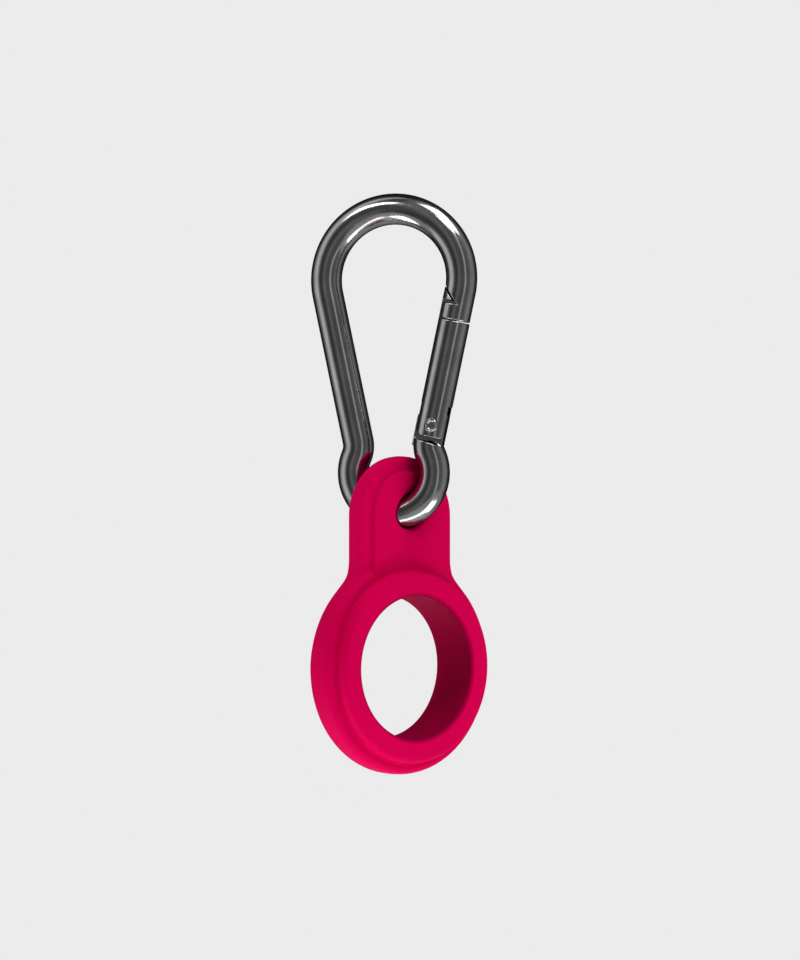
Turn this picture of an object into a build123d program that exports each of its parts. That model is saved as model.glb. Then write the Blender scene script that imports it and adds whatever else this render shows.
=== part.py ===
"""Bottle-neck holder on a pear-shaped snap hook.

Millimetres, +Z up. The origin is the hang point: the inside top of the hook's upper arc.
The hook lies in the XZ plane with its gate on the +X side and its front towards -Y.
The silicone holder hangs from the hook's lower loop, turned about Z.
"""
from build123d import *
from math import atan2, cos, degrees, radians, sin, sqrt
import os

# hook body, bent from round bar
BAR_D = 6.1
ARC_R = 13.7           # centreline of the upper arc
LOOP_R = 8.2           # centreline of the lower loop
NECK_R = 5.0           # centreline of the reverse bends above the loop
CENTRES = 37.9         # upper arc centre to lower loop centre
LEG_TILT = 12.1        # each leg from vertical, degrees

# gate, measured along the leg from its pivot
GATE_D = 6.2
PIVOT_DOWN = 26.46     # pivot below the leg's upper tangent point
PIVOT_OUT = 0.5        # pivot outboard of the leg's centreline
GATE_LOW = -2.3        # lower end of the gate
GATE_HIGH = 20.7       # shoulder where the gate meets the nose
GATE_CORNER = 2.2      # rounded lower inner corner
FORK_TOP = 4.1         # depth of the fork slot above the pivot
TONGUE_T = 2.4         # thickness of the body's tongue
TONGUE_TOP = 2.5
FORK_GAP = 0.12        # clearance on each face of the tongue

# nose of the body and head of the gate
NOSE_END = 20.92
NOTCH_LOW = 24.0
NOTCH_HIGH = 27.4
NOTCH_IN = 0.5         # depth of the notch past the leg's centreline
WEB_T = 2.0
WEB_GAP = 0.15
HEAD_LOW = 24.4

# rivet, plunger and spring
RIVET_D = 2.0
RIVET_HEAD_D = 2.5
RIVET_HEAD_T = 0.35
RIVET_GAP = 0.04
PLUNGER_IN = 1.15      # plunger axis inboard of the pivot
PLUNGER_D = 2.1
PLUNGER_GAP = 0.05
PLUNGER_LEN = 5.2
BORE_TOP = 17.5
SPRING_WIRE = 0.36
SPRING_D = 1.5         # mean coil diameter
SPRING_PITCH = 0.95
SPRING_TURNS = 9

# silicone holder
HOLDER_TURN = 55.2     # about Z, from facing -Y
HOLDER_X = 0.65        # the holder hangs a little towards the gate
HOLDER_ALONG = 0.8     # and lies a little to one side, along its own width
HOLE_R = 3.7
HOLE_DROP = 0.5        # hole centre below the bar's centre
RING_DROP = 29.3       # ring centre below the hole centre
BORE_R = 13.9
RING_T = 11.1          # length of the bore
RING_FACE_R = 18.5
RIM_R = 0.9            # rounding of the bore's and faces' rims
BAND_R = 20.4
BAND_T = 5.8
TAB_FACE_W = 17.7
TAB_T = 5.74
TAB_BAND_W = 23.7
TAB_BAND_T = 3.9
FLARE_R = 9.7          # concave blends between tab and ring
BAR_RELIEF = 0.3       # clearance round the bar

# ---------------------------------------------------------------- derived
a = radians(LEG_TILT)
arc_z = -(ARC_R - BAR_D / 2)
loop_z = arc_z - CENTRES
neck_out = ARC_R + NECK_R - CENTRES * sin(a)
neck_up = sqrt((LOOP_R + NECK_R) ** 2 - neck_out**2)
neck_x = neck_out * cos(a) + neck_up * sin(a)
neck_z = loop_z - neck_out * sin(a) + neck_up * cos(a)
neck_angle = degrees(atan2(neck_z - loop_z, neck_x))
leg_len = CENTRES * cos(a) - neck_up


def on_leg(out, up):
    """Point in the hook's plane: out from the right leg's centreline, up from its upper tangent point."""
    return (
        (ARC_R + out) * cos(a) + up * sin(a),
        arc_z - (ARC_R + out) * sin(a) + up * cos(a),
    )


pivot_x, pivot_z = on_leg(PIVOT_OUT, -PIVOT_DOWN)
# sketches of the gate's outline: local X is outboard, local Y is up the leg, both from the pivot
gate_side = Plane(origin=(pivot_x, 0, pivot_z), x_dir=(cos(a), 0, -sin(a)), z_dir=(0, -1, 0))
# sketches of round sections: local Z is up the leg
gate_axis = Plane(origin=(pivot_x, 0, pivot_z), x_dir=(cos(a), 0, -sin(a)), z_dir=(sin(a), 0, cos(a)))
leg_c = -PIVOT_OUT     # the leg's centreline seen from the pivot
inner = leg_c - GATE_D / 2
outer = leg_c + GATE_D / 2
notch_tip = leg_c + NOTCH_IN

nose = on_leg(0, NOSE_END - PIVOT_DOWN)
arc_start = on_leg(0, 0)
arc_end = (-arc_start[0], arc_start[1])
neck_l = on_leg(0, -leg_len)
neck_l = (-neck_l[0], neck_l[1])
shoulder_turn = 8.0

# ---------------------------------------------------------------- hook body
with BuildPart() as hook_body:
    with BuildLine(Plane.XZ) as spine:
        Line(nose, arc_start)
        CenterArc((0, arc_z), ARC_R, -LEG_TILT, 180 + 2 * LEG_TILT)
        Line(arc_end, neck_l)
        CenterArc((-neck_x, neck_z), NECK_R, LEG_TILT, -neck_angle - LEG_TILT)
        CenterArc((0, loop_z), LOOP_R, 180 - neck_angle, 180 + 2 * neck_angle)
        CenterArc((neck_x, neck_z), NECK_R, 180 + neck_angle, shoulder_turn - neck_angle - LEG_TILT)
    with BuildSketch(gate_axis.offset(NOSE_END)):
        with Locations((leg_c, 0)):
            Circle(BAR_D / 2)
    sweep(path=spine.wires()[0])
    # tilted step where the bar ends and the flat tongue begins
    with BuildSketch(gate_side):
        with BuildLine():
            Polyline((inner - 2, -2.7), (outer + 2, -3.95), (outer + 2, 3), (inner - 2, 3), close=True)
        make_face()
    extrude(amount=BAR_D, both=True, mode=Mode.SUBTRACT)
    with BuildSketch(gate_side):
        with BuildLine():
            Polyline(
                (inner + 0.05, -4.4),
                (outer - 0.25, -4.8),
                (outer - 0.25, TONGUE_TOP),
                (inner + 0.05, TONGUE_TOP),
                close=True,
            )
        face = make_face()
        fillet(face.vertices().group_by(Axis.Z)[-1], 1.4)
    extrude(amount=TONGUE_T / 2, both=True)
    with BuildSketch(gate_side):
        Circle(RIVET_D / 2 + RIVET_GAP)
    extrude(amount=TONGUE_T, both=True, mode=Mode.SUBTRACT)
    # hooked nose: a notch across the bar and a slot for the gate's web
    with BuildSketch(gate_side):
        with BuildLine():
            Polyline(
                (inner - 3, NOTCH_LOW),
                (notch_tip, NOTCH_LOW),
                (inner, NOTCH_HIGH),
                (inner - 3, NOTCH_HIGH + 2.8),
                close=True,
            )
        make_face()
    extrude(amount=BAR_D, both=True, mode=Mode.SUBTRACT)
    with BuildSketch(gate_side):
        with BuildLine():
            Polyline(
                (inner - 3, NOSE_END - 1),
                (notch_tip, NOSE_END - 1),
                (notch_tip, NOTCH_LOW + 0.01),
                (inner - 3, NOTCH_LOW + 0.01),
                close=True,
            )
        make_face()
    extrude(amount=WEB_T / 2 + WEB_GAP, both=True, mode=Mode.SUBTRACT)
hook_body.part.label = "hook_body"

# ---------------------------------------------------------------- gate
with BuildPart() as gate:
    with BuildSketch(gate_axis.offset(GATE_LOW)):
        with Locations((leg_c, 0)):
            Circle(GATE_D / 2)
    extrude(amount=NOTCH_HIGH - GATE_LOW)
    with BuildSketch(gate_side):
        with BuildLine():
            Polyline(
                (inner - 0.1, GATE_LOW),
                (outer + 0.1, GATE_LOW),
                (outer + 0.1, GATE_HIGH),
                (notch_tip - 0.25, GATE_HIGH),
                (notch_tip - 0.25, NOTCH_LOW - 0.3),
                (notch_tip - 0.85, HEAD_LOW + 0.1),
                (inner - 0.1, NOTCH_HIGH - 0.15),
                close=True,
            )
        face = make_face()
        fillet(face.vertices().sort_by_distance(gate_side.from_local_coords((inner, GATE_LOW)))[0], GATE_CORNER)
    extrude(amount=GATE_D, both=True, mode=Mode.INTERSECT)
    # web between the gate's shoulder and its head
    for side in (1, -1):
        with BuildSketch(gate_side.offset(side * WEB_T / 2)):
            with Locations((leg_c, (GATE_HIGH + HEAD_LOW) / 2)):
                Rectangle(GATE_D + 1, HEAD_LOW - GATE_HIGH)
        extrude(amount=side * GATE_D, mode=Mode.SUBTRACT)
    # fork for the body's tongue
    with BuildSketch(gate_side):
        with Locations((leg_c, (GATE_LOW - 1 + FORK_TOP) / 2)):
            Rectangle(GATE_D + 1, FORK_TOP - GATE_LOW + 1)
    extrude(amount=TONGUE_T / 2 + FORK_GAP, both=True, mode=Mode.SUBTRACT)
    # blind bore for the plunger and its spring
    with BuildSketch(gate_axis.offset(FORK_TOP - 0.5)):
        with Locations((-PLUNGER_IN, 0)):
            Circle(PLUNGER_D / 2 + PLUNGER_GAP)
    extrude(amount=BORE_TOP - FORK_TOP + 0.5, mode=Mode.SUBTRACT)
    # rivet hole with a seat for each formed head
    with BuildSketch(gate_side):
        Circle(RIVET_D / 2)
    extrude(amount=GATE_D, both=True, mode=Mode.SUBTRACT)
    for side in (1, -1):
        with BuildSketch(gate_side.offset(side * (GATE_D / 2 - 0.4))):
            Circle(RIVET_HEAD_D / 2)
        extrude(amount=side * 2, mode=Mode.SUBTRACT)
gate.part.label = "gate"

# ---------------------------------------------------------------- pivot rivet
with BuildPart() as pivot_rivet:
    with BuildSketch(gate_side):
        Circle(RIVET_D / 2)
    extrude(amount=GATE_D / 2 - 0.4, both=True)
    for side in (1, -1):
        with BuildSketch(gate_side.offset(side * (GATE_D / 2 - 0.4))):
            Circle(RIVET_HEAD_D / 2)
        extrude(amount=side * RIVET_HEAD_T)
    chamfer(pivot_rivet.faces().sort_by(Axis.Y)[0].edges(), 0.12)
    chamfer(pivot_rivet.faces().sort_by(Axis.Y)[-1].edges(), 0.12)
pivot_rivet.part.label = "pivot_rivet"

# ---------------------------------------------------------------- spring plunger
with BuildPart() as spring_plunger:
    with BuildSketch(gate_axis.offset(TONGUE_TOP)):
        with Locations((-PLUNGER_IN, 0)):
            Circle(PLUNGER_D / 2)
    extrude(amount=PLUNGER_LEN)
    ends = spring_plunger.edges().filter_by(GeomType.CIRCLE).sort_by(Axis.Z)
    fillet(ends[0], 0.6)
    chamfer(ends[-1], 0.2)
spring_plunger.part.label = "spring_plunger"

# ---------------------------------------------------------------- gate spring
spring_low = TONGUE_TOP + PLUNGER_LEN + SPRING_WIRE / 2 + 0.02
with BuildPart() as gate_spring:
    coil_plane = Plane(
        origin=gate_axis.from_local_coords((-PLUNGER_IN, 0, spring_low)),
        x_dir=gate_axis.x_dir,
        z_dir=gate_axis.z_dir,
    )
    coil = coil_plane.from_local_coords(Helix(SPRING_PITCH, SPRING_PITCH * SPRING_TURNS, SPRING_D / 2))
    with BuildSketch(Plane(origin=coil @ 0, z_dir=coil % 0)):
        Circle(SPRING_WIRE / 2)
    sweep(path=coil, is_frenet=True)
gate_spring.part.label = "gate_spring"

# ---------------------------------------------------------------- silicone holder
t = radians(HOLDER_TURN)
hole_z = loop_z - LOOP_R - HOLE_DROP
holder_x = HOLDER_X + HOLDER_ALONG * cos(t)
holder_y = HOLDER_ALONG * sin(t)
# sketches on the holder's middle plane: local X across the tab, local Y up, both from the hole
holder_side = Plane(origin=(holder_x, holder_y, hole_z), x_dir=(cos(t), sin(t), 0), z_dir=(sin(t), -cos(t), 0))


def layer(half_w, radius, flare):
    """Outline of one layer: round top about the hole, straight tab sides, blends into the ring's disc."""
    # blend centre: `flare` outside the tab's side and tangent to the disc
    rise = sqrt((radius + flare) ** 2 - (half_w + flare) ** 2)
    k = radius / (radius + flare)
    join = ((half_w + flare) * k, -RING_DROP + rise * k)
    with BuildSketch(mode=Mode.PRIVATE) as outline:
        with BuildLine():
            Line((half_w, -RING_DROP + rise), (half_w, 0))
            CenterArc((0, 0), half_w, 0, 180)
            Line((-half_w, 0), (-half_w, -RING_DROP + rise))
            RadiusArc((-half_w, -RING_DROP + rise), (-join[0], join[1]), flare)
            ThreePointArc((-join[0], join[1]), (0, -RING_DROP - radius), join)
            RadiusArc(join, (half_w, -RING_DROP + rise), flare)
        make_face()
    return outline.sketch


with BuildPart() as silicone_holder:
    with BuildSketch(holder_side):
        add(layer(TAB_BAND_W / 2, BAND_R, FLARE_R))
    extrude(amount=TAB_BAND_T / 2, both=True)
    with BuildSketch(holder_side):
        add(layer(TAB_FACE_W / 2, RING_FACE_R, FLARE_R))
    extrude(amount=TAB_T / 2, both=True)
    with BuildSketch(holder_side):
        with Locations((0, -RING_DROP)):
            Circle(BAND_R)
    extrude(amount=BAND_T / 2, both=True)
    with BuildSketch(holder_side):
        with Locations((0, -RING_DROP)):
            Circle(RING_FACE_R)
    extrude(amount=RING_T / 2, both=True)
    with BuildSketch(holder_side):
        with Locations((0, -RING_DROP)):
            Circle(BORE_R)
        Circle(HOLE_R)
    extrude(amount=RING_T, both=True, mode=Mode.SUBTRACT)
    rims = silicone_holder.edges().filter_by(GeomType.CIRCLE).filter_by(
        lambda e: abs(e.radius - BORE_R) < 0.01 or (abs(e.radius - RING_FACE_R) < 0.01 and e.length > 100)
    )
    fillet(rims, RIM_R)
    # the soft wall keeps clear of the bar that it hangs on
    with BuildLine(Plane.XZ) as loop:
        CenterArc((0, loop_z), LOOP_R, 175, 190)
    with BuildSketch(Plane(origin=loop.line @ 0, z_dir=loop.line % 0)):
        Circle(BAR_D / 2 + BAR_RELIEF)
    sweep(path=loop.line, mode=Mode.SUBTRACT)
silicone_holder.part.label = "silicone_holder"

os.makedirs("parts", exist_ok=True)
export_step(hook_body.part, "parts/hook_body.step")
export_step(gate.part, "parts/gate.step")
export_step(pivot_rivet.part, "parts/pivot_rivet.step")
export_step(spring_plunger.part, "parts/spring_plunger.step")
export_step(gate_spring.part, "parts/gate_spring.step")
export_step(silicone_holder.part, "parts/silicone_holder.step")
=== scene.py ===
from math import atan2, cos, hypot, pi, radians, sin, sqrt

import bpy
import numpy as np
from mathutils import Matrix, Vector


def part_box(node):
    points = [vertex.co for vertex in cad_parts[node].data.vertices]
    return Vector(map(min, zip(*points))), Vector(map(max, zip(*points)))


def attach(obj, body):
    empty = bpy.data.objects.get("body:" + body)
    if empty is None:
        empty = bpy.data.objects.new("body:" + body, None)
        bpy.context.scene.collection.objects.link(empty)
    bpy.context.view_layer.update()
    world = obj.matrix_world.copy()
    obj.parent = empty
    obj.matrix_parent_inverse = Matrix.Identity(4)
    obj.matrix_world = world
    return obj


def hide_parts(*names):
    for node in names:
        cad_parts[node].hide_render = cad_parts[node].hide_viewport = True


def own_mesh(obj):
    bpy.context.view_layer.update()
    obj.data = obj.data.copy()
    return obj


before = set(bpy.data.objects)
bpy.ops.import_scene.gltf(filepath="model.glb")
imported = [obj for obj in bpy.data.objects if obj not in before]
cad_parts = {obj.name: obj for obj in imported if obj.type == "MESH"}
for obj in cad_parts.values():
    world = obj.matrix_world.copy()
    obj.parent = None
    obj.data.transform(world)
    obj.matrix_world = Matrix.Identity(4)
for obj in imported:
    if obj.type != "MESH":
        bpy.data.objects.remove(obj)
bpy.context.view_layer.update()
MM = 0.001

# ---------------------------------------------------------------- sizes in mm
# the bars, the hook's outline and the gate's pivot
BAR_R, GATE_R = 3.05, 3.1
ARC_R, LOOP_R, NECK_R, CENTRES = 13.7, 8.2, 5.0, 37.9
TILT = radians(12.1)
PIVOT_DOWN, PIVOT_OUT = 26.46, 0.5
# the hook's two ends and the gate; places are up the leg, or outboard, from the pivot
GATE_LOW, GATE_HIGH, GATE_CORNER = -2.3, 20.7, 2.2
FORK_TOP, FORK_GAP = 4.1, 0.12
SHOULDER_IN, SHOULDER_OUT = -2.7, -3.95
NOSE_END, NOTCH_LOW, NOTCH_HIGH, NOTCH_IN = 20.92, 24.0, 27.4, 0.5
SLOT_LOW, SLOT_HIGH = 18.8, 24.8
WEB_T, WEB_GAP, WEB_LOW, WEB_HIGH = 2.0, 0.15, 20.2, 25.0
HEAD_LOW, HEAD_GAP = 24.55, 0.08
TONGUE_T, TONGUE_LOW, TONGUE_TOP, TONGUE_CORNER = 2.4, -4.5, 2.5, 1.4
PIN_HOLE_R, SEAT_R, SEAT_IN = 1.04, 1.3, 2.7
GATE_BORE_R, GATE_BORE_LOW, GATE_BORE_TOP = 1.1, 3.5, 17.5
PLUNGER_IN, PLUNGER_LEN, TRAVEL = 1.15, 5.2, 1.0
SPRING_WIRE, SPRING_D, SPRING_PITCH, SPRING_TURNS = 0.36, 1.5, 0.95, 9
SPRING_GAP = 0.02
# the rivet's head
SHANK_R, SHANK_END = 0.99, 2.8
HEAD_R, HEAD_MIDDLE, HEAD_HALF = 1.22, 2.86, 0.16
HEAD_RIM_R, HEAD_RIM_WIRE, HEAD_RIM_OUT = 0.98, 0.24, 2.88
DISH_R = 0.72
# the silicone holder
HOLDER_TURN = radians(55.2)
HOLDER_X, HOLDER_ALONG = 0.65, 0.8
HOLE_DROP, RING_DROP = 0.5, 29.3
LIP_GAP, LIP_R = 0.22, 0.9
BORE_R, RIM_R, RING_T, RING_FACE_R = 13.9, 0.9, 11.1, 18.5
BAND_R, BAND_T = 20.4, 5.8
TAB_FACE_W, TAB_T, TAB_BAND_W, TAB_BAND_T = 17.7, 5.74, 23.7, 3.9
FLARE_R = 9.7
PARTING_H, PARTING_W = 0.08, 0.2

arc_z = -(ARC_R - BAR_R)
loop_z = arc_z - CENTRES
neck_out = ARC_R + NECK_R - CENTRES * sin(TILT)
neck_up = sqrt((LOOP_R + NECK_R) ** 2 - neck_out**2)
neck_x = neck_out * cos(TILT) + neck_up * sin(TILT)
neck_z = loop_z - neck_out * sin(TILT) + neck_up * cos(TILT)
neck_turn = atan2(neck_z - loop_z, neck_x)
leg_len = CENTRES * cos(TILT) - neck_up
LEG = -PIVOT_OUT
INNER, OUTER = LEG - GATE_R, LEG + GATE_R
TONGUE_IN, TONGUE_OUT = INNER + 0.05, OUTER - 0.25
NOTCH_TIP = LEG + NOTCH_IN


def on_leg(out, up):
    """Point of the hook's plane: out from the right leg's centreline, up from its upper tangent point."""
    return (
        (ARC_R + out) * cos(TILT) + up * sin(TILT),
        arc_z - (ARC_R + out) * sin(TILT) + up * cos(TILT),
    )


PIVOT = on_leg(PIVOT_OUT, -PIVOT_DOWN)


# ---------------------------------------------------------------- distance functions
def length(*parts):
    return np.sqrt(sum(p * p for p in parts))


def join(a, b, r):
    """Union with a concave fillet of radius r."""
    return np.maximum(r, np.minimum(a, b)) - length(np.maximum(r - a, 0), np.maximum(r - b, 0))


def meet(a, b, r):
    """Intersection with a convex rounding of radius r."""
    return np.minimum(-r, np.maximum(a, b)) + length(np.maximum(r + a, 0), np.maximum(r + b, 0))


def cut(a, b, r):
    """a without b, with its new edges rounded to radius r."""
    return meet(a, -b, r)


def between(value, low, high):
    """Distance to the slab from low to high."""
    return np.abs(value - (low + high) / 2) - (high - low) / 2


def segment(x, z, a, b):
    ax, az = a
    bx, bz = b[0] - ax, b[1] - az
    k = np.clip(((x - ax) * bx + (z - az) * bz) / (bx * bx + bz * bz), 0, 1)
    return length(x - ax - k * bx, z - az - k * bz)


def arc(x, z, centre, radius, middle, half):
    """Distance to an arc that reaches `half` each side of the direction `middle`."""
    dx, dz = x - centre[0], z - centre[1]
    u = dx * cos(middle) + dz * sin(middle)
    v = np.abs(dz * cos(middle) - dx * sin(middle))
    inside = v * cos(half) <= u * sin(half)
    ends = length(u - radius * cos(half), v - radius * sin(half))
    return np.where(inside, np.abs(length(u, v) - radius), ends)


def leg_frame(x, z):
    """Outboard and up-the-leg coordinates from the gate's pivot."""
    dx, dz = x - PIVOT[0], z - PIVOT[1]
    return dx * cos(TILT) - dz * sin(TILT), dx * sin(TILT) + dz * cos(TILT)


def half_plane(t, s, a, b):
    """Negative on the right of the line from a to b."""
    dx, dz = b[0] - a[0], b[1] - a[1]
    n = hypot(dx, dz)
    return ((s - a[1]) * dx - (t - a[0]) * dz) / n


def hook_shape(x, y, z):
    t, s = leg_frame(x, z)
    start, left = on_leg(0, 0), on_leg(0, -leg_len)
    half_neck = (neck_turn + TILT) / 2
    spine = arc(x, z, (0, arc_z), ARC_R, radians(90), radians(90) + TILT)
    spine = np.minimum(spine, segment(x, z, (-start[0], start[1]), (-left[0], left[1])))
    spine = np.minimum(spine, arc(x, z, (-neck_x, neck_z), NECK_R, (TILT - neck_turn) / 2, half_neck))
    spine = np.minimum(spine, arc(x, z, (0, loop_z), LOOP_R, radians(-90), radians(90) + neck_turn))
    d = length(spine, y) - BAR_R
    # the end by the gate, cut at a slant, and its flat tongue
    neck_facing = radians(180) - (TILT - neck_turn) / 2
    low = length(arc(x, z, (neck_x, neck_z), NECK_R, neck_facing, half_neck), y) - BAR_R
    slant = half_plane(t, s, (OUTER + 2, SHOULDER_OUT), (INNER - 2, SHOULDER_IN))
    d = np.minimum(d, meet(low, -slant, 0.22))
    box = np.maximum(between(t, TONGUE_IN, TONGUE_OUT), between(s, TONGUE_LOW, TONGUE_TOP))
    past_t, past_s = TONGUE_IN + TONGUE_CORNER - t, s - TONGUE_TOP + TONGUE_CORNER
    corner = length(np.maximum(past_t, 0), np.maximum(past_s, 0)) - TONGUE_CORNER
    box = np.where((past_t > 0) & (past_s > 0), np.maximum(box, corner), box)
    tongue = meet(box, np.abs(y) - TONGUE_T / 2, 0.15)
    tongue = cut(tongue, length(t, s) - PIN_HOLE_R, 0.05)
    d = join(d, tongue, 0.2)
    # the nose
    nose = length(segment(x, z, on_leg(0, NOSE_END - PIVOT_DOWN - 3), start), y) - BAR_R
    d = np.minimum(d, meet(nose, NOSE_END - s, 0.2))
    notch = half_plane(t, s, (INNER, NOTCH_HIGH), (NOTCH_TIP, NOTCH_LOW))
    notch = np.maximum(np.maximum(notch, NOTCH_LOW - s), INNER - 4 - t)
    d = cut(d, notch, 0.25)
    slot = np.maximum(np.abs(y) - WEB_T / 2 - WEB_GAP, between(s, SLOT_LOW, SLOT_HIGH))
    slot = np.maximum(slot, between(t, NOTCH_TIP - 7, NOTCH_TIP))
    return cut(d, slot, 0.1)


def gate_shape(x, y, z):
    t, s = leg_frame(x, z)
    bar = length(t - LEG, y) - GATE_R
    d = meet(bar, between(s, GATE_LOW, GATE_HIGH), 0.18)
    qx, qz = INNER + GATE_CORNER - t, GATE_LOW + GATE_CORNER - s
    corner = np.minimum(np.maximum(qx, qz), 0) + length(np.maximum(qx, 0), np.maximum(qz, 0)) - GATE_CORNER
    d = meet(d, corner, 0.18)
    fork = np.maximum(np.abs(y) - TONGUE_T / 2 - FORK_GAP, s - FORK_TOP)
    d = cut(d, fork, 0.14)
    bore = np.maximum(length(t + PLUNGER_IN, y) - GATE_BORE_R, between(s, GATE_BORE_LOW, GATE_BORE_TOP))
    d = cut(d, bore, 0.05)
    seat = np.maximum(length(t, s) - SEAT_R, SEAT_IN - np.abs(y))
    d = cut(d, seat, 0.08)
    web = np.maximum(between(s, WEB_LOW, WEB_HIGH), np.abs(y) - WEB_T / 2)
    web = meet(np.maximum(web, t - NOTCH_TIP + 0.25), bar, 0.12)
    slope = half_plane(t, s, (INNER - 0.1, NOTCH_HIGH - 0.15), (NOTCH_TIP - 0.85, HEAD_LOW - 0.05))
    head = meet(meet(bar, slope + HEAD_GAP, 0.12), HEAD_LOW - s, 0.12)
    return np.minimum(np.minimum(d, web), head)


def rivet_shape(x, y, z):
    t, s = leg_frame(x, z)
    r = length(t, s)
    shank = np.maximum(r - SHANK_R, np.abs(y) - SHANK_END)
    head = meet(r - HEAD_R, np.abs(np.abs(y) - HEAD_MIDDLE) - HEAD_HALF, 0.1)
    rim = length(r - HEAD_RIM_R, np.abs(y) - HEAD_RIM_OUT) - HEAD_RIM_WIRE
    dish = np.maximum(r - DISH_R, HEAD_MIDDLE - np.abs(y))
    return cut(np.minimum(shank, join(head, rim, 0.06)), dish, 0.1)


def outline(u, v, half_w, radius):
    """A layer's outline: the tab's rounded slab joined to the ring's disc by two large blends."""
    tab = length(u, v - np.clip(v, -RING_DROP, 0)) - half_w
    disc = length(u, v + RING_DROP) - radius
    cx, cv = half_w + FLARE_R, sqrt((radius + FLARE_R) ** 2 - (half_w + FLARE_R) ** 2) - RING_DROP
    pu, pv = cx - np.abs(u), cv - v
    blend = (pv > 0) & (pu > 0) & (pu * (cv + RING_DROP) > pv * cx)
    return np.where(blend, FLARE_R - length(pu, pv), np.minimum(tab, disc))


def slab(edge, depth, half_t, r):
    return meet(edge, np.abs(depth) - half_t, r)


def holder_shape(x, y, z):
    c, k = cos(HOLDER_TURN), sin(HOLDER_TURN)
    x0 = x - HOLDER_X
    u, w, v = x0 * c + y * k - HOLDER_ALONG, x0 * k - y * c, z - (loop_z - LOOP_R - HOLE_DROP)
    ring = length(u, v + RING_DROP)
    band = slab(outline(u, v, TAB_BAND_W / 2, BAND_R), w, TAB_BAND_T / 2, 1.0)
    face = slab(outline(u, v, TAB_FACE_W / 2, RING_FACE_R), w, TAB_T / 2, 0.6)
    ring_band = slab(ring - BAND_R, w, BAND_T / 2, 1.0)
    ring_face = slab(ring - RING_FACE_R, w, RING_T / 2, 1.0)
    # the mould's parting line stands a little proud of the band
    d = join(band, ring_band, 1.5) - PARTING_H * np.exp(-((w / PARTING_W) ** 2))
    d = join(d, face, 0.5)
    d = join(d, ring_face, 0.6)
    d = cut(d, ring - BORE_R, RIM_R)
    # the hole, whose soft lip closes round the bar
    loop = length(length(x, z - loop_z) - LOOP_R, y) - BAR_R - LIP_GAP
    return cut(d, loop, LIP_R)


# ---------------------------------------------------------------- meshing
def net(name, shape, low, high, step, body, node):
    """Piece made as the surface net of a distance function, its points moved onto the surface."""
    axes = [np.arange(a - 2 * step, b + 3 * step, step, dtype=np.float32) for a, b in zip(low, high)]
    nx, ny, nz = map(len, axes)
    value = np.empty((nx, ny, nz), np.float32)
    gy, gz = np.meshgrid(axes[1], axes[2], indexing="ij")
    for i in range(0, nx, 16):
        part = axes[0][i : i + 16, None, None]
        value[i : i + 16] = shape(part + 0 * gy[None], gy[None] + 0 * part, gz[None] + 0 * part)
    inside = value < 0
    count = sum(
        inside[i : nx - 1 + i, j : ny - 1 + j, k : nz - 1 + k].astype(np.int8)
        for i in (0, 1)
        for j in (0, 1)
        for k in (0, 1)
    )
    cells = np.argwhere((count > 0) & (count < 8))
    index = np.full(count.shape, -1, np.int64)
    index[tuple(cells.T)] = np.arange(len(cells))
    points = np.stack([axes[d][cells[:, d]] + step / 2 for d in range(3)], 1).astype(np.float64)

    quads = []
    for d in range(3):
        a, b = [np.take(inside, range(m, inside.shape[d] - 1 + m), d) for m in (0, 1)]
        at = np.argwhere(a != b)
        e, f = [m for m in range(3) if m != d]
        keep = (at[:, e] > 0) & (at[:, f] > 0)
        at = at[keep]
        flip = a[tuple(at.T)]
        around = []
        for i, j in ((1, 1), (0, 1), (0, 0), (1, 0)):
            cell = at.copy()
            cell[:, e] -= i
            cell[:, f] -= j
            around.append(index[tuple(cell.T)])
        quad = np.stack(around, 1)
        if d == 1:
            flip = ~flip
        quad[~flip] = quad[~flip][:, ::-1]
        quads.append(quad)
    quads = np.concatenate(quads)

    def slope(p):
        h = 0.004
        g = np.empty_like(p)
        for d in range(3):
            o = np.zeros(3)
            o[d] = h
            g[:, d] = (shape(*(p + o).T) - shape(*(p - o).T)) / (2 * h)
        return g

    def settle(p, rounds):
        for _ in range(rounds):
            g = slope(p)
            f = shape(*p.T)
            g2 = np.maximum((g * g).sum(1), 0.05)
            move = -f[:, None] * g / g2[:, None]
            size = np.maximum(length(*move.T) / step, 1)
            p = p + move / size[:, None]
        return p

    points = settle(points, 3)
    edges = np.concatenate([quads[:, [0, 1]], quads[:, [1, 2]], quads[:, [2, 3]], quads[:, [3, 0]]])
    for _ in range(4):
        total = np.zeros_like(points)
        weight = np.zeros(len(points))
        for m, n in ((0, 1), (1, 0)):
            for d in range(3):
                total[:, d] += np.bincount(edges[:, m], points[edges[:, n], d], len(points))
            weight += np.bincount(edges[:, m], minlength=len(points))
        mean = total / weight[:, None]
        points = settle(points * 0.5 + mean * 0.5, 1)
    points = settle(points, 2)
    mesh = bpy.data.meshes.new(name)
    mesh.from_pydata((points * MM).tolist(), [], quads.tolist())
    mesh.polygons.foreach_set("use_smooth", [True] * len(mesh.polygons))
    normal = slope(points)
    normal /= np.maximum(length(*normal.T), 1e-9)[:, None]
    mesh.normals_split_custom_set_from_vertices(normal.tolist())
    mesh.update()
    piece = bpy.data.objects.new(name, mesh)
    bpy.context.scene.collection.objects.link(piece)
    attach(piece, body)
    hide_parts(node)
    return piece


def around(node):
    """The CAD node's box, in mm."""
    low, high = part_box(node)
    return [v / MM for v in low], [v / MM for v in high]


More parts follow.
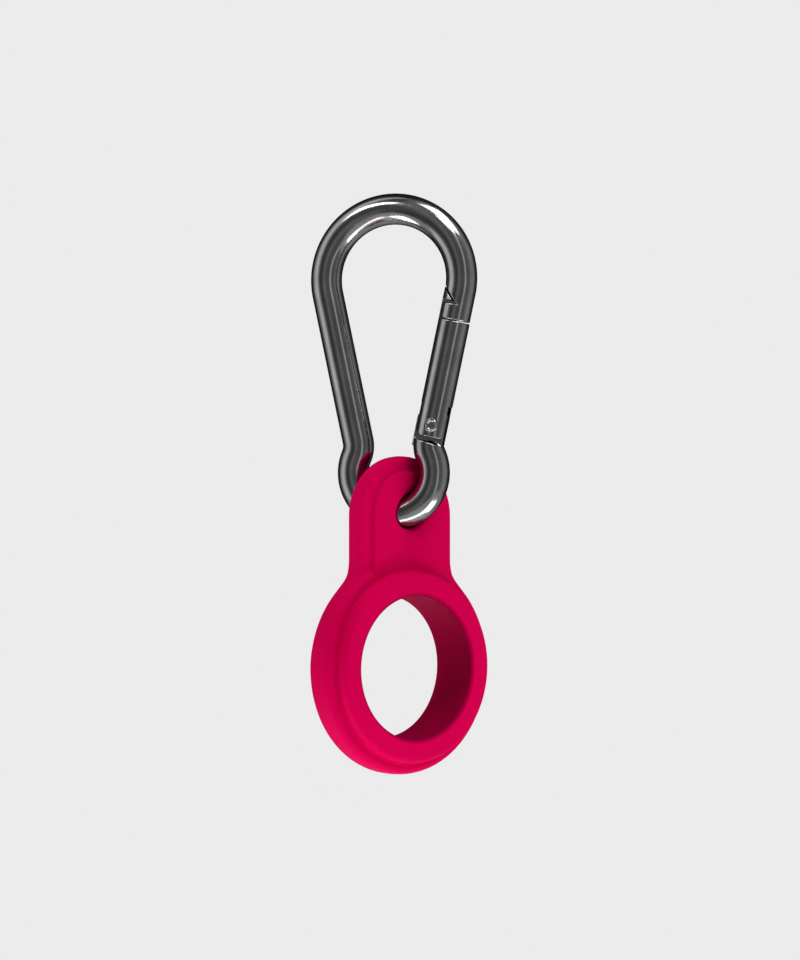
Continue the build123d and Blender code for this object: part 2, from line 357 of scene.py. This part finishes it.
hook = net("hook_bar", hook_shape, *around("hook_body"), 0.17, "hook", "hook_body")
gate = net("gate_arm", gate_shape, *around("gate"), 0.13, "gate", "gate")
rivet = net("rivet", rivet_shape, *around("pivot_rivet"), 0.07, "gate", "pivot_rivet")
HOLDER_STEP = 0.25
holder = net("holder", holder_shape, *around("silicone_holder"), HOLDER_STEP, "holder", "silicone_holder")


def along_gate(out, up):
    """Point on the gate's own axes, from its pivot."""
    x = PIVOT[0] + out * cos(TILT) + up * sin(TILT)
    z = PIVOT[1] - out * sin(TILT) + up * cos(TILT)
    return Vector((x, 0, z))


def coil_spring():
    """The spring above the plunger: a coil of wire, capped at both ends."""
    across, up = along_gate(1, 0) - along_gate(0, 0), along_gate(0, 1) - along_gate(0, 0)
    foot = TONGUE_TOP + PLUNGER_LEN + SPRING_WIRE / 2 + SPRING_GAP
    per_turn, sides = 32, 12
    steps = SPRING_TURNS * per_turn
    points = []
    for i in range(steps + 1):
        a = 2 * pi * i / per_turn
        out = across * cos(a) + Vector((0, sin(a), 0))
        centre = along_gate(-PLUNGER_IN, foot + SPRING_PITCH * i / per_turn) + out * SPRING_D / 2
        for k in range(sides):
            b = 2 * pi * k / sides
            points.append((centre + (out * cos(b) + up * sin(b)) * SPRING_WIRE / 2) * MM)
    quads = [
        (i * sides + k, (i + 1) * sides + k, (i + 1) * sides + (k + 1) % sides, i * sides + (k + 1) % sides)
        for i in range(steps)
        for k in range(sides)
    ]
    quads += [tuple(range(sides)), tuple(range(steps * sides, (steps + 1) * sides))[::-1]]
    mesh = bpy.data.meshes.new("coil_spring")
    mesh.from_pydata(points, [], quads)
    mesh.polygons.foreach_set("use_smooth", [True] * len(mesh.polygons))
    mesh.update()
    piece = bpy.data.objects.new("coil_spring", mesh)
    bpy.context.scene.collection.objects.link(piece)
    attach(piece, "gate")
    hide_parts("gate_spring")
    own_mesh(piece)
    return piece


spring = coil_spring()


# ---------------------------------------------------------------- materials
def material(name):
    m = bpy.data.materials.new(name)
    m.use_nodes = True
    return m, m.node_tree, m.node_tree.nodes["Principled BSDF"]


def noise(tree, scale, detail, roughness=0.5):
    coords = tree.nodes.new("ShaderNodeTexCoord")
    n = tree.nodes.new("ShaderNodeTexNoise")
    n.inputs["Scale"].default_value = scale
    n.inputs["Detail"].default_value = detail
    n.inputs["Roughness"].default_value = roughness
    tree.links.new(coords.outputs["Object"], n.inputs["Vector"])
    return n


def ramp(tree, source, stops):
    """Colour ramp with (position, colour) stops."""
    r = tree.nodes.new("ShaderNodeValToRGB")
    r.color_ramp.elements[0].position, r.color_ramp.elements[0].color = stops[0][0], (*stops[0][1], 1)
    r.color_ramp.elements[1].position, r.color_ramp.elements[1].color = stops[-1][0], (*stops[-1][1], 1)
    for position, colour in stops[1:-1]:
        r.color_ramp.elements.new(position).color = (*colour, 1)
    tree.links.new(source, r.inputs["Fac"])
    return r


def bumps(tree, bsdf, height, strength, distance):
    bump = tree.nodes.new("ShaderNodeBump")
    bump.inputs["Strength"].default_value = strength
    bump.inputs["Distance"].default_value = distance
    tree.links.new(height.outputs["Fac"], bump.inputs["Height"])
    tree.links.new(bump.outputs["Normal"], bsdf.inputs["Normal"])


def metal(name, colour, rough):
    m, tree, bsdf = material(name)
    bsdf.inputs["Metallic"].default_value = 1.0
    bsdf.inputs["Specular Tint"].default_value = (0.25, 0.25, 0.27, 1)
    patches = [(0.3, [v * 0.88 for v in colour]), (0.7, [v * 1.12 for v in colour])]
    c = ramp(tree, noise(tree, 260, 3).outputs["Fac"], patches)
    tree.links.new(c.outputs["Color"], bsdf.inputs["Base Color"])
    polish = [(0.35, [rough * 0.9] * 3), (0.75, [rough * 1.2] * 3)]
    r = ramp(tree, noise(tree, 900, 4, 0.6).outputs["Fac"], polish)
    tree.links.new(r.outputs["Color"], bsdf.inputs["Roughness"])
    bumps(tree, bsdf, noise(tree, 500, 2), 0.03, 0.00002)
    return m


def bore_shade(tree):
    """Painted shade on the bore's wall: a colour factor of 0.42 at the wall, rising to 1 at its rims' outer
    edge.
    """
    place = tree.nodes.new("ShaderNodeMapping")
    place.vector_type = "TEXTURE"
    place.inputs["Location"].default_value = (
        (HOLDER_X + HOLDER_ALONG * cos(HOLDER_TURN)) * MM,
        HOLDER_ALONG * sin(HOLDER_TURN) * MM,
        (loop_z - LOOP_R - HOLE_DROP - RING_DROP) * MM,
    )
    place.inputs["Rotation"].default_value = (0, 0, HOLDER_TURN)
    place.inputs["Scale"].default_value = (MM, MM, MM)
    coords = tree.nodes.new("ShaderNodeTexCoord")
    tree.links.new(coords.outputs["Object"], place.inputs["Vector"])
    flat = tree.nodes.new("ShaderNodeVectorMath")
    flat.operation = "MULTIPLY"
    flat.inputs[1].default_value = (1, 0, 1)
    tree.links.new(place.outputs["Vector"], flat.inputs[0])
    reach = tree.nodes.new("ShaderNodeVectorMath")
    reach.operation = "LENGTH"
    tree.links.new(flat.outputs["Vector"], reach.inputs[0])
    wall = tree.nodes.new("ShaderNodeMapRange")
    wall.inputs["From Min"].default_value = BORE_R + 0.02
    wall.inputs["From Max"].default_value = BORE_R + RIM_R
    tree.links.new(reach.outputs["Value"], wall.inputs["Value"])
    return ramp(tree, wall.outputs["Result"], [(0.0, [0.42] * 3), (1.0, [1.0] * 3)])


def silicone():
    m, tree, bsdf = material("crimson_silicone")
    c = ramp(tree, noise(tree, 60, 2).outputs["Fac"], [(0.3, (0.6, 0.0, 0.068)), (0.7, (0.66, 0.0, 0.078))])
    painted_shade_mix = tree.nodes.new("ShaderNodeMix")
    painted_shade_mix.data_type = "RGBA"
    painted_shade_mix.blend_type = "MULTIPLY"
    painted_shade_mix.inputs["Factor"].default_value = 1
    tree.links.new(c.outputs["Color"], painted_shade_mix.inputs["A"])
    # painted shade: the base colour is multiplied darker on the bore's wall
    tree.links.new(bore_shade(tree).outputs["Color"], painted_shade_mix.inputs["B"])
    tree.links.new(painted_shade_mix.outputs["Result"], bsdf.inputs["Base Color"])
    r = ramp(tree, noise(tree, 700, 3).outputs["Fac"], [(0.3, [0.42] * 3), (0.7, [0.54] * 3)])
    tree.links.new(r.outputs["Color"], bsdf.inputs["Roughness"])
    bsdf.inputs["Subsurface Weight"].default_value = 0.08
    bsdf.inputs["Subsurface Radius"].default_value = (1.0, 0.12, 0.2)
    bsdf.inputs["Subsurface Scale"].default_value = 0.0015
    bsdf.inputs["Specular IOR Level"].default_value = 0.03
    bsdf.inputs["Specular Tint"].default_value = (1.0, 0.0, 0.35, 1)
    bsdf.inputs["Sheen Weight"].default_value = 0.5
    bsdf.inputs["Sheen Roughness"].default_value = 0.2
    bsdf.inputs["Sheen Tint"].default_value = (1.0, 0.0, 0.35, 1)
    bumps(tree, bsdf, noise(tree, 2600, 3), 0.12, 0.00005)
    return m


def paint(obj, mat):
    obj.data.materials.clear()
    obj.data.materials.append(mat)


dark = metal("dark_metal", (0.35, 0.35, 0.355), 0.15)
bright = metal("rivet_metal", (0.42, 0.42, 0.425), 0.16)
steel = metal("spring_steel", (0.5, 0.5, 0.52), 0.25)
for piece, finish, slot_name in (
    (hook, dark, "dark_metal"),
    (gate, dark, "dark_metal"),
    (rivet, bright, "rivet_metal"),
    (holder, silicone(), "crimson_silicone"),
    (spring, steel, "spring_steel"),
):
    paint(piece, finish)
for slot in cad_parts["spring_plunger"].material_slots:
    slot.material = steel


# ---------------------------------------------------------------- stage, light and camera
AZIMUTH, ELEVATION, DISTANCE = radians(15), radians(-1), 0.6
VIEW_HEIGHT = 0.18768  # metres from top to bottom of the view, at the camera's target
SENSOR = 36
CENTRE = Vector((0, 0, -0.05))
FLOOR_R, FLOOR_Z = 0.45, -0.25


def lamp(name, turn, rise, distance, size, radiance):
    """Area light `turn` degrees to the right of the camera and `rise` degrees up, facing the object."""
    angle = AZIMUTH + radians(turn)
    away = Vector((sin(angle) * cos(radians(rise)), -cos(angle) * cos(radians(rise)), sin(radians(rise))))
    data = bpy.data.lights.new(name, "AREA")
    data.shape = "RECTANGLE"
    data.size, data.size_y = size
    data.energy = radiance * pi * size[0] * size[1]
    obj = bpy.data.objects.new(name, data)
    obj.location = CENTRE + distance * away
    obj.visible_camera = False
    obj.rotation_euler = (-away).to_track_quat("-Z", "Y").to_euler()
    bpy.context.scene.collection.objects.link(obj)


bpy.ops.mesh.primitive_circle_add(vertices=96, radius=FLOOR_R, fill_type="NGON", location=(0, 0, FLOOR_Z))
floor = bpy.context.object
floor.name = "floor"
pale, _, pale_bsdf = material("pale_floor")
pale_bsdf.inputs["Base Color"].default_value = (0.8, 0.8, 0.8, 1)
pale_bsdf.inputs["Roughness"].default_value = 0.9
paint(floor, pale)

world = bpy.data.worlds.new("studio")
bpy.context.scene.world = world
world.use_nodes = True
tree = world.node_tree
back = tree.nodes["Background"]
back.inputs["Color"].default_value = (0.835, 0.835, 0.835, 1)
room = tree.nodes.new("ShaderNodeBackground")
coords = tree.nodes.new("ShaderNodeTexCoord")


def part_of(direction):
    """How far the looked-at direction of the studio points along `direction`."""
    dot = tree.nodes.new("ShaderNodeVectorMath")
    dot.operation = "DOT_PRODUCT"
    dot.inputs[1].default_value = direction
    tree.links.new(coords.outputs["Generated"], dot.inputs[0])
    return dot.outputs["Value"]


bearing = tree.nodes.new("ShaderNodeMath")
bearing.operation = "ARCTAN2"
tree.links.new(part_of((cos(AZIMUTH), sin(AZIMUTH), 0)), bearing.inputs[0])
tree.links.new(part_of((sin(AZIMUTH), -cos(AZIMUTH), 0)), bearing.inputs[1])
turn = tree.nodes.new("ShaderNodeMapRange")
turn.inputs["From Min"].default_value = radians(-180)
turn.inputs["From Max"].default_value = radians(180)
tree.links.new(bearing.outputs["Value"], turn.inputs["Value"])
# radiance of the studio by bearing, in degrees to the right of the camera
STUDIO = (
    (-180, 0.03),
    (-125, 0.05),
    (-108, 0.3),
    (-90, 0.95),
    (-72, 0.95),
    (-58, 0.2),
    (-46, 0.07),
    (-34, 0.07),
    (-22, 0.24),
    (-12, 0.24),
    (-4, 0.14),
    (21, 0.14),
    (25, 0.75),
    (31, 0.75),
    (35, 0.15),
    (60, 0.2),
    (75, 0.4),
    (98, 0.4),
    (118, 0.08),
    (180, 0.03),
)
shade = ramp(tree, turn.outputs["Result"], [((angle + 180) / 360, [level] * 3) for angle, level in STUDIO])
tree.links.new(shade.outputs["Color"], room.inputs["Color"])
# the camera sees a plain pale backdrop, and the object is lit by the studio
path = tree.nodes.new("ShaderNodeLightPath")
mix = tree.nodes.new("ShaderNodeMixShader")
tree.links.new(path.outputs["Is Camera Ray"], mix.inputs["Fac"])
tree.links.new(room.outputs["Background"], mix.inputs[1])
tree.links.new(back.outputs["Background"], mix.inputs[2])
tree.links.new(mix.outputs["Shader"], tree.nodes["World Output"].inputs["Surface"])

lamp("upper_left", -48, 43, 0.5, (0.22, 0.1), 7)
lamp("upper_right", 24, 48, 0.5, (0.18, 0.07), 7)
lamp("key", 50, 62, 0.5, (0.3, 0.25), 5.5)
lamp("low_right", 62, -57, 0.24, (0.15, 0.15), 6.5)
lamp("low_front", 10, -62, 0.22, (0.2, 0.05), 4)
lamp("low_left", -72, -57, 0.24, (0.14, 0.14), 7)

target = Vector((0.0012, 0.0003, -0.05))
data = bpy.data.cameras.new("camera")
data.lens = SENSOR * DISTANCE / VIEW_HEIGHT
data.clip_start = 0.01
camera = bpy.data.objects.new("camera", data)
bpy.context.scene.collection.objects.link(camera)
direction = Vector((sin(AZIMUTH) * cos(ELEVATION), -cos(AZIMUTH) * cos(ELEVATION), sin(ELEVATION)))
camera.location = target + DISTANCE * direction
camera.rotation_euler = (-direction).to_track_quat("-Z", "Y").to_euler()
bpy.context.scene.camera = camera
bpy.context.scene.view_settings.view_transform = "Standard"
